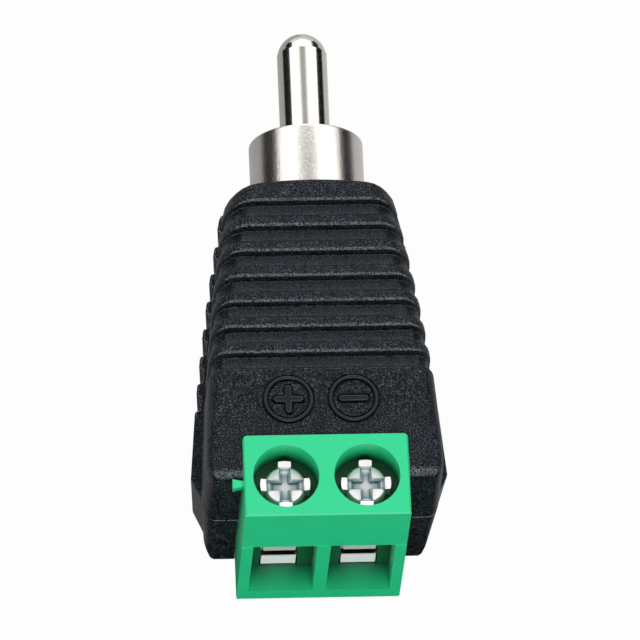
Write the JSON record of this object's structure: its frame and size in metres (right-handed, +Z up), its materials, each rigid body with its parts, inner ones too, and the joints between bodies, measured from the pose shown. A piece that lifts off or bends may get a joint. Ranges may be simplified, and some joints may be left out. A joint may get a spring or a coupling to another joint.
{
  "type": "rca plug to screw terminal adaptor",
  "caption": "Phono plug with a ribbed black body and a green screw terminal block, for joining bare wires to an audio or video socket without soldering.",
  "frame": {"origin": "on the underside, below the middle of the whole length and width", "axes": "+Y along the plug and out of its tip, +Z up through the face with the screws, +X to the right as seen from the terminal block"},
  "size_m": [0.0162, 0.0362, 0.0142],
  "materials": {
    "body_plastic": "fine moulded texture",
    "block_plastic": "satin moulded",
    "screw_zinc": "bright zinc plate",
    "clamp_tin": "bright tin plate",
    "bar_tin": "tin plate",
    "ring_nickel": "satin nickel plate",
    "insulator_plastic": "moulded",
    "pin_nickel": "polished nickel plate",
    "wire_red": "plain sleeve",
    "wire_black": "plain sleeve"
  },
  "bodies": {
    "body": {"upper_shell": "body_plastic", "lower_shell": "body_plastic", "terminal_housing": "block_plastic", "contact_bar_plus": "bar_tin", "contact_bar_minus": "bar_tin", "ground_ring": "ring_nickel", "insulator": "insulator_plastic", "centre_pin": "pin_nickel", "signal_wire": "wire_red", "ground_wire": "wire_black"},
    "screw_plus": {"terminal_screw_plus": "screw_zinc"},
    "screw_minus": {"terminal_screw_minus": "screw_zinc"},
    "cage_plus": {"clamp_cage_plus": "clamp_tin"},
    "cage_minus": {"clamp_cage_minus": "clamp_tin"}
  },
  "joints": [
    {"name": "screw_plus_turn", "type": "hinge", "parent": "body", "child": "screw_plus", "pos_m": [-0.00254, -0.0154, 0.0118], "axis": [0, 0, 1], "range_deg": [-608.5, 648.5]},
    {"name": "screw_minus_turn", "type": "hinge", "parent": "body", "child": "screw_minus", "pos_m": [0.00254, -0.0154, 0.0118], "axis": [0, 0, 1], "range_deg": [-608.5, 648.5]},
    {"name": "cage_plus_rise", "type": "slide", "parent": "body", "child": "cage_plus", "axis": [0, 0, 1], "range_m": [-0.00081, 0.00076]},
    {"name": "cage_minus_rise", "type": "slide", "parent": "body", "child": "cage_minus", "axis": [0, 0, 1], "range_m": [-0.00081, 0.00076]}
  ],
  "couplings": [
    {"joint": "screw_plus_turn", "follows": "cage_plus_rise", "rad_per_m": -13963},
    {"joint": "screw_minus_turn", "follows": "cage_minus_rise", "rad_per_m": -13963}
  ]
}
